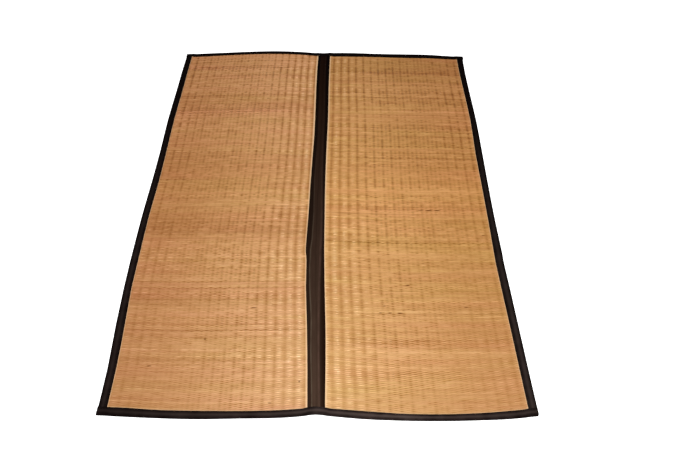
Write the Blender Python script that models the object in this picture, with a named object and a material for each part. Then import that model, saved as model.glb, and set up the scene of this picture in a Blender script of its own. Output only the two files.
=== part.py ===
"""A foldable woven grass floor mat, lying open: two ribbed panels, a cloth hinge strip and cloth tapes."""

from bisect import bisect_right
from math import cos, hypot, pi, sin
from typing import NamedTuple

import bmesh
import bpy

# The mat as cut: sizes in metres, "across" from left to right, "along" from the near end to the far end
HALF_WIDTH = 0.61
HALF_LENGTH = 0.915
STRIP_LEFT = -0.0305
STRIP_RIGHT = 0.0195
STRIP_CREASE = -0.0055

# Thicknesses
LEAF = 0.0010
GAP = 0.00032
HEM_THICKNESS = 0.0026
RIB_VALLEY = 0.0030
RIB_CREST = 0.0044
TAPE_CROWN = 0.0008
STRIP_HUMP = 0.0034
SEAM_HALF_WIDTH = 0.0030

# How far each piece stops short of, or reaches past, its neighbours
PANEL_INSET = 0.0034
END_INSET = 0.0050
PANEL_UNDER_STRIP = 0.0100
HEM_MARGIN = 0.0015
HEM_SLOPE = 0.0120
RIB_CLEARANCE = 0.0040
HUMP_SLOPE = 0.0300
OVERLAP_FROM_EDGE = 0.0285
OVERLAP_SLOPE = 0.0120

# What one folded tape adds above and below what it covers, and its whole height round a hem
STEP = LEAF + GAP
TAPE_HEIGHT = HEM_THICKNESS + 2 * STEP

# How finely the pieces are divided
BEND_STEPS = 4
BEND_LEAD = 0.0005
ROW_PITCH = 0.105
END_PITCH = 0.045
CROSSING_PITCH = 0.014

GRASS_COLOUR = (0.56, 0.30, 0.13, 1.0)
TAPE_COLOUR = (0.020, 0.013, 0.011, 1.0)
STRIP_COLOUR = (0.045, 0.028, 0.018, 1.0)
GRASS_ROUGHNESS = 0.55
TAPE_ROUGHNESS = 0.80
STRIP_ROUGHNESS = 0.75


class Lie(NamedTuple):
    """How far the mat's long lines drift from straight at one place along it, and the tapes' widths."""

    along: float
    left_edge: float
    strip_left: float
    strip_right: float
    right_edge: float
    left_tape: float
    right_tape: float


class End(NamedTuple):
    """How far the two ends bow at one place across the mat, and the tapes' width there."""

    across: float
    near_bow: float
    far_bow: float
    near_tape: float
    far_tape: float


class Crown(NamedTuple):
    """One place on a folded tape's upper leaf, as shares of the tape's width and of its crown."""

    inward: float
    height: float


class Rise(NamedTuple):
    """One place on the centre strip's upper leaf: metres in from its edge, and its share of the hump."""

    inward: float
    height: float


class Ribs(NamedTuple):
    """The lengthwise ribs of one panel, counted outwards from the centre strip."""

    pitch: float
    first_valley: float


LIES = (
    Lie(-0.915, 0.0020, 0.0025, -0.0025, 0.0000, 0.0230, 0.0240),
    Lie(-0.760, 0.0005, -0.0014, -0.0023, -0.0025, 0.0240, 0.0245),
    Lie(-0.600, -0.0074, -0.0072, -0.0039, -0.0046, 0.0255, 0.0250),
    Lie(-0.450, -0.0120, -0.0145, -0.0082, -0.0066, 0.0230, 0.0260),
    Lie(-0.335, -0.0137, -0.0157, -0.0103, -0.0088, 0.0240, 0.0260),
    Lie(-0.290, -0.0137, -0.0197, -0.0112, -0.0078, 0.0240, 0.0260),
    Lie(-0.120, -0.0134, -0.0146, -0.0115, -0.0087, 0.0230, 0.0225),
    Lie(0.060, -0.0095, -0.0112, -0.0112, -0.0066, 0.0240, 0.0230),
    Lie(0.240, -0.0075, -0.0061, -0.0085, -0.0035, 0.0225, 0.0250),
    Lie(0.440, -0.0085, -0.0038, -0.0038, -0.0006, 0.0230, 0.0220),
    Lie(0.640, -0.0035, -0.0035, -0.0030, -0.0035, 0.0235, 0.0220),
    Lie(0.780, -0.0010, -0.0021, -0.0010, -0.0050, 0.0230, 0.0235),
    Lie(0.915, 0.0035, 0.0020, 0.0020, -0.0030, 0.0220, 0.0250),
)

ENDS = (
    End(-0.610, -0.0037, -0.0105, 0.0240, 0.0170),
    End(-0.545, -0.0070, -0.0030, 0.0260, 0.0195),
    End(-0.440, -0.0120, 0.0066, 0.0230, 0.0165),
    End(-0.330, -0.0145, 0.0170, 0.0235, 0.0165),
    End(-0.220, -0.0119, 0.0230, 0.0205, 0.0170),
    End(-0.120, -0.0100, 0.0192, 0.0215, 0.0165),
    End(-0.050, -0.0045, 0.0110, 0.0215, 0.0180),
    End(-0.008, 0.0008, 0.0060, 0.0220, 0.0210),
    End(0.030, -0.0030, 0.0115, 0.0215, 0.0235),
    End(0.130, -0.0125, 0.0124, 0.0225, 0.0240),
    End(0.240, -0.0170, 0.0070, 0.0190, 0.0210),
    End(0.350, -0.0176, 0.0055, 0.0185, 0.0240),
    End(0.455, -0.0145, 0.0035, 0.0200, 0.0230),
    End(0.530, -0.0105, -0.0045, 0.0230, 0.0210),
    End(0.610, -0.0010, -0.0120, 0.0230, 0.0200),
)

TAPE_CROWNS = (
    Crown(0.36, 1.00),
    Crown(0.68, 0.90),
    Crown(0.90, 0.25),
    Crown(1.00, 0.00),
)
BEND_CROWN = 0.33

# From the strip's edge over its rim to the crease along its middle
STRIP_RISES = (
    Rise(0.0000, 0.00),
    Rise(0.0030, 0.22),
    Rise(0.0072, 0.80),
    Rise(0.0098, 1.00),
    Rise(0.0125, 0.92),
    Rise(0.0215, 0.80),
    Rise(0.0250, 0.55),
)

LEFT_RIBS = Ribs(pitch=0.0295, first_valley=0.0085)
RIGHT_RIBS = Ribs(pitch=0.0320, first_valley=0.0220)

# How far an end tape's own ends stand out past the side tapes
NEAR_EARS = (0.0040, 0.0030)
FAR_EARS = (0.0012, 0.0048)


def flow(at, rows, column):
    """Read one column of a table between its rows, along a smooth curve through them."""
    places = [row[0] for row in rows]
    at = min(max(at, places[0]), places[-1])
    i = min(bisect_right(places, at), len(rows) - 1) - 1
    span = places[i + 1] - places[i]
    t = (at - places[i]) / span
    value = [getattr(row, column) for row in rows]

    def slope(k):
        low, high = max(k - 1, 0), min(k + 1, len(rows) - 1)
        return (value[high] - value[low]) / (places[high] - places[low]) * span

    start, end = value[i], value[i + 1]
    return (
        start * (1 + 2 * t) * (1 - t) ** 2
        + end * t * t * (3 - 2 * t)
        + slope(i) * t * (1 - t) ** 2
        - slope(i + 1) * t * t * (1 - t)
    )


def ramp(distance, level, length):
    """1 up to the distance called level, then down to 0 over the length after it."""
    return min(max((level + length - distance) / length, 0.0), 1.0)


def lay(across, along, height):
    """Carry a point of the mat as cut to where it lies on the floor."""
    lines = (-HALF_WIDTH, STRIP_LEFT, STRIP_RIGHT, HALF_WIDTH)
    columns = ("left_edge", "strip_left", "strip_right", "right_edge")
    at = min(max(across, -HALF_WIDTH), HALF_WIDTH)
    i = min(bisect_right(lines, at), len(lines) - 1) - 1
    t = (at - lines[i]) / (lines[i + 1] - lines[i])
    drift = (1 - t) * flow(along, LIES, columns[i]) + t * flow(along, LIES, columns[i + 1])
    far_share = (along + HALF_LENGTH) / (2 * HALF_LENGTH)
    bow = (1 - far_share) * flow(at, ENDS, "near_bow") + far_share * flow(at, ENDS, "far_bow")
    return across + drift, along + bow, height


def strip_distance(across):
    """How far a place lies outside the centre strip."""
    return max(STRIP_LEFT - across, across - STRIP_RIGHT)


def end_tape_width(across, along):
    """The nearer end tape's width, which keeps one value over a side tape and over the centre strip."""
    column = "near_tape" if along < 0 else "far_tape"
    if HALF_WIDTH - abs(across) <= OVERLAP_FROM_EDGE:
        across = HALF_WIDTH if across > 0 else -HALF_WIDTH
    elif strip_distance(across) <= 2 * HEM_MARGIN:
        across = STRIP_CREASE
    return flow(across, ENDS, column)


def end_cover(across, along):
    """1 under the nearer end tape, 0 in the open."""
    return ramp(HALF_LENGTH - abs(along), end_tape_width(across, along) + HEM_MARGIN, HEM_SLOPE)


def side_cover(across, along):
    """1 under the nearer side tape or the centre strip, 0 in the open."""
    column = "left_tape" if across < 0 else "right_tape"
    under_tape = ramp(HALF_WIDTH - abs(across), flow(along, LIES, column) + HEM_MARGIN, HEM_SLOPE)
    return max(under_tape, ramp(strip_distance(across), HEM_MARGIN, HEM_SLOPE))


def crossing(across):
    """1 where an end tape passes over a side tape or the centre strip, 0 where it holds a panel alone."""
    over_tape = ramp(HALF_WIDTH - abs(across), OVERLAP_FROM_EDGE, OVERLAP_SLOPE)
    return max(over_tape, ramp(strip_distance(across), 2 * HEM_MARGIN, OVERLAP_SLOPE))


def thicken(path, thickness):
    """Close an open path of (across, height) points into a band that lies on its left side."""
    normals = []
    for (x0, z0), (x1, z1) in zip(path, path[1:]):
        length = hypot(x1 - x0, z1 - z0)
        normals.append(((z0 - z1) / length, (x1 - x0) / length))
    inner = []
    for k, (x, z) in enumerate(path):
        (ax, az), (bx, bz) = normals[max(k - 1, 0)], normals[min(k, len(normals) - 1)]
        scale = thickness / (1 + ax * bx + az * bz)
        inner.append((x + (ax + bx) * scale, z + (az + bz) * scale))
    return list(path) + inner[::-1]


def folded_tape(width, height, crown):
    """The section of a tape folded round a hem: (distance in from the fold's outside, height)."""
    radius = height / 2
    bend = [
        (radius - radius * sin(pi * k / BEND_STEPS), radius - radius * cos(pi * k / BEND_STEPS))
        for k in range(1, BEND_STEPS)
    ]
    path = [(width, 0.0), (radius, 0.0), *bend, (radius + BEND_LEAD, height + BEND_CROWN * crown)]
    path += [(width * place.inward, height + crown * place.height) for place in TAPE_CROWNS]
    return thicken(path[::-1], LEAF)


def strip_section(hump):
    """The centre strip's section: two leaves that grip the panels, sewn together under the crease."""
    left_half = [(STRIP_LEFT + rise.inward, TAPE_HEIGHT + hump * rise.height) for rise in STRIP_RISES]
    upper = left_half + [(2 * STRIP_CREASE - x, z) for x, z in left_half[-2::-1]]
    band = thicken(upper, -LEAF)
    under = [p for p in band[len(upper) :] if abs(p[0] - STRIP_CREASE) > SEAM_HALF_WIDTH]
    right_under = [p for p in under if p[0] > STRIP_CREASE]
    left_under = [p for p in under if p[0] < STRIP_CREASE]
    seam_left, seam_right = STRIP_CREASE - SEAM_HALF_WIDTH, STRIP_CREASE + SEAM_HALF_WIDTH
    seam_top = right_under[-1][1]
    lower = [
        (seam_right, seam_top),
        (seam_right, LEAF),
        (STRIP_RIGHT, LEAF),
        (STRIP_RIGHT, 0.0),
        (STRIP_CREASE, 0.0),
        (STRIP_LEFT, 0.0),
        (STRIP_LEFT, LEAF),
        (seam_left, LEAF),
        (seam_left, seam_top),
    ]
    return upper + right_under + lower + left_under


def spread(first, last, pitch):
    """Evenly spaced places from first to last, about a pitch apart."""
    count = max(round(abs(last - first) / pitch), 1)
    return [first + (last - first) * k / count for k in range(count + 1)]


def rows_along():
    """The places along the mat at which every lengthwise piece has a row of points."""
    stations = [row.along for row in LIES[1:-1]]
    inner = []
    for low, high in zip(stations, stations[1:]):
        inner += spread(low, high, ROW_PITCH)[:-1]
    return inner + stations[-1:]


def stations_across():
    """The places across the mat at which an end tape has a section."""
    step = OVERLAP_FROM_EDGE + OVERLAP_SLOPE
    strip_low, strip_high = STRIP_LEFT - 2 * HEM_MARGIN, STRIP_RIGHT + 2 * HEM_MARGIN
    left = spread(step - HALF_WIDTH, strip_low - OVERLAP_SLOPE, END_PITCH)
    right = spread(strip_high + OVERLAP_SLOPE, HALF_WIDTH - step, END_PITCH)
    middle = spread(strip_low, strip_high, CROSSING_PITCH)
    edges = [-HALF_WIDTH, OVERLAP_FROM_EDGE - HALF_WIDTH], [HALF_WIDTH - OVERLAP_FROM_EDGE, HALF_WIDTH]
    return edges[0] + left + middle + right + edges[1]


def material(name, colour, roughness):
    made = bpy.data.materials.new(name)
    made.use_nodes = True
    shader = made.node_tree.nodes["Principled BSDF"]
    shader.inputs["Base Color"].default_value = colour
    shader.inputs["Roughness"].default_value = roughness
    shader.inputs["Metallic"].default_value = 0.0
    return made


def grass(name):
    return material(name, GRASS_COLOUR, GRASS_ROUGHNESS)


def tape_cloth(name):
    return material(name, TAPE_COLOUR, TAPE_ROUGHNESS)


def add_piece(name, bm, look, collection):
    """Turn a finished bmesh into a named object of the mat."""
    bmesh.ops.recalc_face_normals(bm, faces=bm.faces)
    mesh = bpy.data.meshes.new(name)
    bm.to_mesh(mesh)
    bm.free()
    mesh.materials.append(look)
    piece = bpy.data.objects.new(name, mesh)
    collection.objects.link(piece)
    return piece


def sweep(rings):
    """Draw a closed section and pull it from ring to ring, then close both ends."""
    bm = bmesh.new()
    ring = bmesh.ops.create_circle(bm, segments=len(rings[0]), radius=1.0)["verts"]
    first_ring, caps = ring, [list(bm.edges)]
    edges = caps[0]
    for vert, place in zip(ring, rings[0]):
        vert.co = place
    for places in rings[1:]:
        made = bmesh.ops.extrude_edge_only(bm, edges=edges)["geom"]
        new = {item for item in made if isinstance(item, bmesh.types.BMVert)}
        edges = [e for e in made if isinstance(e, bmesh.types.BMEdge) and set(e.verts) <= new]
        ring = [next(e.other_vert(v) for e in v.link_edges if e.other_vert(v) in new) for v in ring]
        for vert, place in zip(ring, places):
            vert.co = place
    caps.append(edges)
    for cap in caps:
        bmesh.ops.edgeloop_fill(bm, edges=cap)
    return bm


def panel_columns(side, ribs, along):
    """Places across a panel and its thickness there, from its edge under the strip to its outer edge."""
    tape = flow(along, LIES, "left_tape" if side < 0 else "right_tape")
    strip_edge = STRIP_LEFT if side < 0 else STRIP_RIGHT
    outer_hem = side * (HALF_WIDTH - tape - HEM_MARGIN)
    outer_open = outer_hem - side * HEM_SLOPE
    inner_hem = strip_edge + side * HEM_MARGIN
    inner_open = inner_hem + side * HEM_SLOPE
    widest_tape = max(max(row.left_tape, row.right_tape) for row in LIES)
    ribbed_to = HALF_WIDTH - widest_tape - HEM_MARGIN - HEM_SLOPE - RIB_CLEARANCE
    places = []
    line = 0
    while True:
        offset = ribs.first_valley + line * ribs.pitch / 2
        at = strip_edge + side * offset
        if abs(at) > ribbed_to:
            break
        if offset > HEM_MARGIN + HEM_SLOPE + RIB_CLEARANCE:
            places.append((at, RIB_VALLEY if line % 2 == 0 else RIB_CREST))
        line += 1
    plain = (RIB_VALLEY + RIB_CREST) / 2
    inner = [(strip_edge - side * PANEL_UNDER_STRIP, HEM_THICKNESS), (inner_hem, HEM_THICKNESS)]
    inner += [(inner_open, plain)]
    outer = [(outer_open, plain), (outer_hem, HEM_THICKNESS)]
    outer += [(side * (HALF_WIDTH - PANEL_INSET), HEM_THICKNESS)]
    return inner + places + outer


def panel_rows(across, inner_rows):
    """Places along a panel at one place across it: the hems at both ends, and the rows between."""
    near = end_tape_width(across, -HALF_LENGTH) + HEM_MARGIN
    far = end_tape_width(across, HALF_LENGTH) + HEM_MARGIN
    low = [END_INSET, near, near + HEM_SLOPE]
    high = [far + HEM_SLOPE, far, END_INSET]
    return [d - HALF_LENGTH for d in low] + inner_rows + [HALF_LENGTH - d for d in high]


def woven_panel(name, side, ribs, look, collection):
    """A flat sheet of grid, given its thickness, with its upper points raised in lengthwise ribs."""
    inner_rows = rows_along()
    middle_columns = panel_columns(side, ribs, 0.0)
    row_count = len(panel_rows(0.0, inner_rows))
    bm = bmesh.new()
    bmesh.ops.create_grid(bm, x_segments=len(middle_columns) - 1, y_segments=row_count - 1, size=1.0)
    upper = bmesh.ops.extrude_face_region(bm, geom=bm.faces)["geom"]
    upper = {item for item in upper if isinstance(item, bmesh.types.BMVert)}
    for vert in bm.verts:
        column = round((vert.co.x + 1) / 2 * (len(middle_columns) - 1))
        row = round((vert.co.y + 1) / 2 * (row_count - 1))
        along = panel_rows(middle_columns[column][0], inner_rows)[row]
        across, thickness = panel_columns(side, ribs, along)[column]
        pressed = end_cover(across, along)
        height = STEP * (side_cover(across, along) + pressed)
        if vert in upper:
            height += thickness + (HEM_THICKNESS - thickness) * pressed
        vert.co = lay(across, along, height)
    return add_piece(name, bm, look, collection)


def side_tape(name, side, look, collection):
    """A tape folded round the outer long edge of one panel."""
    column = "left_tape" if side < 0 else "right_tape"
    stations = panel_rows(side * HALF_WIDTH, rows_along())
    rings = []
    for along in stations:
        pressed = end_cover(side * HALF_WIDTH, along)
        section = folded_tape(flow(along, LIES, column), TAPE_HEIGHT, TAPE_CROWN * (1 - pressed))
        rings.append([lay(side * (HALF_WIDTH - w), along, z + STEP * pressed) for w, z in section])
    return add_piece(name, sweep(rings), look, collection)


def end_tape(name, end, ears, look, collection):
    """A tape folded round one end of the mat, over the side tapes and the centre strip."""
    stations = stations_across()
    rings = []
    for across in [-HALF_WIDTH - ears[0], *stations[1:-1], HALF_WIDTH + ears[1]]:
        raised = crossing(across)
        height = TAPE_HEIGHT + 2 * STEP * raised
        width = end_tape_width(across, end * HALF_LENGTH)
        section = folded_tape(width, height, TAPE_CROWN * (1 - raised))
        rings.append([lay(across, end * (HALF_LENGTH - w), z) for w, z in section])
    return add_piece(name, sweep(rings), look, collection)


def centre_strip(look, collection):
    """The hinge between the panels: it stands up in a low hump between its two ends."""
    rings = []
    for along in panel_rows(STRIP_CREASE, rows_along()):
        pressed = end_cover(STRIP_CREASE, along)
        covered = end_tape_width(STRIP_CREASE, along) + HEM_MARGIN
        flat = ramp(HALF_LENGTH - abs(along), covered, HUMP_SLOPE)
        section = strip_section(STRIP_HUMP * (1 - flat))
        rings.append([lay(across, along, z + STEP * pressed) for across, z in section])
    for end, along in ((0, END_INSET - HALF_LENGTH), (-1, HALF_LENGTH - END_INSET)):
        cut_at = lay(STRIP_CREASE, along, 0.0)[1]
        rings[end] = [(x, cut_at, z) for x, _, z in rings[end]]
    return add_piece("centre_strip", sweep(rings), look, collection)


def centre_on_origin(pieces):
    """Move every mesh so that the middle of the mat's box stands on the origin."""
    corners = [vert.co for piece in pieces for vert in piece.data.vertices]
    for axis in (0, 1):
        low = min(c[axis] for c in corners)
        high = max(c[axis] for c in corners)
        for corner in corners:
            corner[axis] -= (low + high) / 2


def main():
    for item in list(bpy.data.objects):
        bpy.data.objects.remove(item)
    mat = bpy.data.collections.new("grass floor mat")
    bpy.context.scene.collection.children.link(mat)
    pieces = [
        woven_panel("panel_left", -1, LEFT_RIBS, grass("grass left"), mat),
        woven_panel("panel_right", 1, RIGHT_RIBS, grass("grass right"), mat),
        centre_strip(material("hinge cloth", STRIP_COLOUR, STRIP_ROUGHNESS), mat),
        side_tape("side_tape_left", -1, tape_cloth("left tape cloth"), mat),
        side_tape("side_tape_right", 1, tape_cloth("right tape cloth"), mat),
        end_tape("end_tape_near", -1, NEAR_EARS, tape_cloth("near tape cloth"), mat),
        end_tape("end_tape_far", 1, FAR_EARS, tape_cloth("far tape cloth"), mat),
    ]
    centre_on_origin(pieces)


main()
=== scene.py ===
# %% [markdown]
# # A folding grass floor mat, dressed cell by cell
#
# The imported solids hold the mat's true size and build: two woven grass panels, a hinge strip of dark
# cloth between them, and four tapes folded round the outer hems. They are the frame here. Every solid
# is soft, so each one gets a finer piece that lies exactly where it lies, and the solids then hide.

import functools
import math
from typing import NamedTuple

import bmesh
import bpy
import numpy as np
from mathutils import Matrix, Vector
from mathutils.bvhtree import BVHTree


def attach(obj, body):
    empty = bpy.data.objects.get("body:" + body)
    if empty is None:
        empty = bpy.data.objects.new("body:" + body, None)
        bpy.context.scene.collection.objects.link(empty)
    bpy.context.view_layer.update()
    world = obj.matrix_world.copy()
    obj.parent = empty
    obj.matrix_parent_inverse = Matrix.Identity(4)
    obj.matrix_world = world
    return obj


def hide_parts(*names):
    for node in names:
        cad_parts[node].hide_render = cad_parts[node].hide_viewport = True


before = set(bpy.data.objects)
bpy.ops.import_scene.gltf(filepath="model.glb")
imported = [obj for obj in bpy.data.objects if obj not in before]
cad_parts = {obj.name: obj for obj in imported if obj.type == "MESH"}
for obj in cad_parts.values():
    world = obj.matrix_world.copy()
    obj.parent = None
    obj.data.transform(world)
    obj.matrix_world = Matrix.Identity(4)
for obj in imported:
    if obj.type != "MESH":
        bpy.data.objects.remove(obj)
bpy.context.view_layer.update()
print("nodes:", ", ".join(sorted(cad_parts)))

# %% [markdown]
# ## The camera
#
# The photo was taken from the mat's near end, looking down at about 44 degrees. The four corners of the
# mat and the usual size of 4 by 6 feet give the place of the camera and its lens. The turns are made in
# the order yaw, pitch, roll, so each value can be read on its own. The lens is a hair longer than the
# corners give, because a render's dark edges on white come out thinner than a photo's.

# %% Set the camera
PHOTO_WIDTH = 679
FOCAL_PIXELS = 781.6
SENSOR_WIDTH = 36.0
CAMERA_PLACE = (0.0398, -2.0918, 1.8766)
CAMERA_PITCH = math.radians(44.353)
CAMERA_YAW = math.radians(-0.798)
CAMERA_ROLL = math.radians(0.905)


def set_down(name, data):
    """Put a new object into the scene, at the origin and unturned."""
    made = bpy.data.objects.new(name, data)
    bpy.context.scene.collection.objects.link(made)
    return made


lens = bpy.data.cameras.new("camera")
lens.sensor_width = SENSOR_WIDTH
lens.lens = FOCAL_PIXELS / PHOTO_WIDTH * SENSOR_WIDTH
camera = set_down("camera", lens)
turn = Matrix.Rotation(CAMERA_YAW, 4, "Z") @ Matrix.Rotation(math.pi / 2 - CAMERA_PITCH, 4, "X")
camera.matrix_world = Matrix.Translation(CAMERA_PLACE) @ turn @ Matrix.Rotation(CAMERA_ROLL, 4, "Z")
bpy.context.scene.camera = camera
print("lens", round(lens.lens, 2), "mm")

# %% [markdown]
# ## Feeling the solids
#
# The finer pieces must lie where the solids lie, and the solids are only loose triangles. In the dark
# a fingertip would read them, and a ray does the same: dropped from above it gives the height of the
# upper face, sent up from below the height of the underside, and walked outwards it finds an edge.
# That keeps every drift and bow of the mat without repeating a single size.

# %% Feelers
SKY = 0.2
DOWN, UP = Vector((0, 0, -1)), Vector((0, 0, 1))
EDGE_STEPS = 20

depsgraph = bpy.context.evaluated_depsgraph_get()
trees = {name: BVHTree.FromObject(solid, depsgraph) for name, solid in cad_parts.items()}


def top_at(node, across, along):
    """Height of a solid's upper face at one place of the plan, or None past its edge."""
    hit = trees[node].ray_cast(Vector((across, along, SKY)), DOWN)[0]
    return None if hit is None else hit.z


def foot_at(node, across, along):
    """Height of a solid's underside at one place of the plan, or None past its edge."""
    hit = trees[node].ray_cast(Vector((across, along, -SKY)), UP)[0]
    return None if hit is None else hit.z


def edge_from(node, start, way, reach):
    """The last place that the solid covers, walking from a place on it in one direction."""
    covered, bare = 0.0, reach
    for _ in range(EDGE_STEPS):
        middle = (covered + bare) / 2
        if top_at(node, *(start + way * middle)) is None:
            bare = middle
        else:
            covered = middle
    return start + way * covered


print("the strip stands", round(top_at("centre_strip", -0.020, 0.0) * 1000, 2), "mm high")

# %% [markdown]
# ## Reading a solid's plan
#
# All seven pieces are long bands: each has two long sides, which drift and bow, and two ends. A walk
# down the middle of the band finds its sides every few millimetres. Short walks, each along the way
# that its own line drifts, then find the ends. Any point of a band is two shares away: how far across
# it, and how far along it.

# %% Plans
WALK = 0.008
END_ROOM = 0.040
SIDE_ROOM = 0.0024
CORNER_ROOM = 0.0010
PANEL_REACH, PANEL_WALKS = 0.5, 61
BAND_REACH, BAND_WALKS = 0.05, 9
ACROSS, ALONG = Vector((1, 0)), Vector((0, 1))
STARTS = {
    "panel_left": ((-0.31, 0.0), ALONG),
    "panel_right": ((0.31, 0.0), ALONG),
    "side_tape_left": ((-0.60, 0.75), ALONG),
    "side_tape_right": ((0.595, 0.75), ALONG),
    "end_tape_near": ((-0.01, -0.908), ACROSS),
    "end_tape_far": ((-0.01, 0.909), ACROSS),
    "centre_strip": ((-0.011, 0.75), ALONG),
}


class Plan(NamedTuple):
    """A band's plan. Its low side is the left or near one, its first end the near or left one."""

    node: str
    ahead: Vector
    stations: np.ndarray
    low: np.ndarray
    high: np.ndarray
    shares: np.ndarray
    first: np.ndarray
    last: np.ndarray

    def width(self):
        return float(np.mean(self.high - self.low))

    def length(self):
        return float(self.stations[-1] - self.stations[0])

    def place(self, share, part):
        """Plan places of the points at a share from the low side and a part of the way along."""
        share, part = np.broadcast_arrays(np.asarray(share, float), np.asarray(part, float))
        first = np.interp(share, self.shares, self.first)
        last = np.interp(share, self.shares, self.last)
        forth = first + part * (last - first)
        low = np.interp(forth, self.stations, self.low)
        high = np.interp(forth, self.stations, self.high)
        side = low + share * (high - low)
        return (side, forth) if self.ahead.y else (forth, side)


def read_plan(node, start, ahead, reach, ends):
    """Walk a band both ways from a place on it, and keep its sides and ends."""
    aside = Vector((ahead.y, ahead.x))
    sides = {}
    for way in (-1, 1):
        centre = Vector(start)
        while top_at(node, *centre) is not None:
            low = edge_from(node, centre, -aside, reach)
            high = edge_from(node, centre, aside, reach)
            sides[centre.dot(ahead)] = (low.dot(aside), high.dot(aside))
            centre = (low + high) / 2 + ahead * WALK * way
    places = np.array(sorted(sides))
    low, high = (np.array([sides[at][k] for at in places]) for k in (0, 1))
    room = SIDE_ROOM / float(np.mean(high - low))
    shares = np.linspace(room, 1 - room, ends)
    caps = []
    for way, end in ((-1, places[0]), (1, places[-1])):
        at, back = end - way * END_ROOM, end - way * 2 * END_ROOM
        here, there = (
            np.interp(place, places, low) * (1 - shares) + np.interp(place, places, high) * shares
            for place in (at, back)
        )
        cap = []
        for side, drift in zip(here.tolist(), ((here - there) / (at - back)).tolist()):
            walk = (ahead + aside * drift) * way
            cap.append(edge_from(node, ahead * at + aside * side, walk, 2 * END_ROOM).dot(ahead))
        caps.append(cap)
    first, last = (np.interp([0, *shares, 1], shares, cap) for cap in caps)
    for cap in (first, last):
        cap[0] = cap[1] - (cap[2] - cap[1]) * room / (shares[1] - shares[0])
        cap[-1] = cap[-2] + (cap[-2] - cap[-3]) * room / (shares[1] - shares[0])
    inside = max(first[0], first[-1]) + CORNER_ROOM, min(last[0], last[-1]) - CORNER_ROOM
    kept = (places > inside[0]) & (places < inside[1])
    for at, way in zip(inside, (-1, 1)):
        inner = places[kept][0] if way < 0 else places[kept][-1]
        middle = (np.interp(inner, places, low) + np.interp(inner, places, high)) / 2
        centre = ahead * at + aside * float(middle)
        sides[at] = tuple(edge_from(node, centre, aside * side, reach).dot(aside) for side in (-1, 1))
    stations = np.array([inside[0], *places[kept], inside[1]])
    low, high = (np.array([sides[at][k] for at in stations]) for k in (0, 1))
    return Plan(node, ahead, stations, low, high, np.array([0, *shares, 1]), first, last)


plans = {}
for node, (start, ahead) in STARTS.items():
    reach, ends = (PANEL_REACH, PANEL_WALKS) if node.startswith("panel") else (BAND_REACH, BAND_WALKS)
    plans[node] = read_plan(node, start, ahead, reach, ends)
    print(node, "is", round(plans[node].width() * 1000, 1), "mm wide on average")

# %% [markdown]
# ## The ground and the light
#
# The mat lies in a bright studio: a white floor, soft light from all round, and one large soft lamp
# beside the camera, which makes the near end lighter than the far end. A long soft lamp over the far
# side is what the glossy grass mirrors along the middle of the mat, and a painted sheen in the grass's
# colour adds to it there.

# %% Floor and lamps
FLOOR_HALF = 60.0
FLOOR_GLOW = 1.0
FLOOR_GREY = (0.9, 0.9, 0.9, 1.0)
WHITE = (1.0, 1.0, 1.0, 1.0)
SKY_STRENGTH = 0.20
NEAR_LAMP = dict(place=(0.1, -2.3, 2.5), aim=(0.0, -0.2, 0.0), size=(0.8, 0.6), power=84.0)
FAR_LAMP = dict(place=(0.0, 1.8, 3.0), aim=(0.0, -0.3, 0.0), size=(0.35, 2.2), power=34.0)


def add_lamp(name, place, aim, size, power):
    """A rectangular soft lamp that faces a point."""
    light = bpy.data.lights.new(name, "AREA")
    light.shape = "RECTANGLE"
    light.size, light.size_y = size
    light.energy = power
    lamp = set_down(name, light)
    lamp.location = place
    lamp.rotation_euler = (Vector(aim) - Vector(place)).to_track_quat("-Z", "Y").to_euler()
    print(name, "of", power, "watts")


def new_material(name, roughness, gloss=0.5):
    """A material with its shader, ready for the nodes that feed it."""
    made = bpy.data.materials.new(name)
    made.use_nodes = True
    shader = made.node_tree.nodes["Principled BSDF"]
    shader.inputs["Roughness"].default_value = roughness
    shader.inputs["Specular IOR Level"].default_value = gloss
    return made, shader


def finished(bm, name):
    """Turn what was shaped into a mesh."""
    mesh = bpy.data.meshes.new(name)
    bm.to_mesh(mesh)
    bm.free()
    return mesh


world = bpy.data.worlds.new("soft light")
world.use_nodes = True
sky = world.node_tree.nodes["Background"]
sky.inputs["Color"].default_value = WHITE
sky.inputs["Strength"].default_value = SKY_STRENGTH
bpy.context.scene.world = world
bpy.context.scene.view_settings.view_transform = "Standard"
add_lamp("near lamp", **NEAR_LAMP)
add_lamp("far lamp", **FAR_LAMP)

bm = bmesh.new()
bmesh.ops.create_grid(bm, x_segments=1, y_segments=1, size=FLOOR_HALF)
floor = set_down("floor", finished(bm, "floor"))
floor_look, floor_shader = new_material("pale floor", 0.9)
floor_shader.inputs["Base Color"].default_value = FLOOR_GREY
floor_shader.inputs["Emission Color"].default_value = WHITE
floor_shader.inputs["Emission Strength"].default_value = FLOOR_GLOW
floor.data.materials.append(floor_look)

# %% [markdown]
# ## How a panel is woven
#
# Each panel is a plain weave. Cotton warp threads run lengthwise, hidden, about 15 mm apart, and the
# grass reeds cross them from the outer edge to the strip. A reed is thick at its root and thin at its
# tip, and the weaver lays them root to tip by turns. So beside the strip every second reed is the
# thick one, and its crests line up as strong ribs. From about a third of the way out the two are
# nearly equal, so the dips of both make a finer grid, and at the outer edge the other reeds show. The
# model follows that: one row of points on each reed's crest, one in each gap, and a reed dips wherever
# its own warp thread crosses it. No hand pulls evenly, so the dips are uneven in patches, a few pairs of
# reeds are tugged hard, and the far half beside the strip came out calmer.

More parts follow.
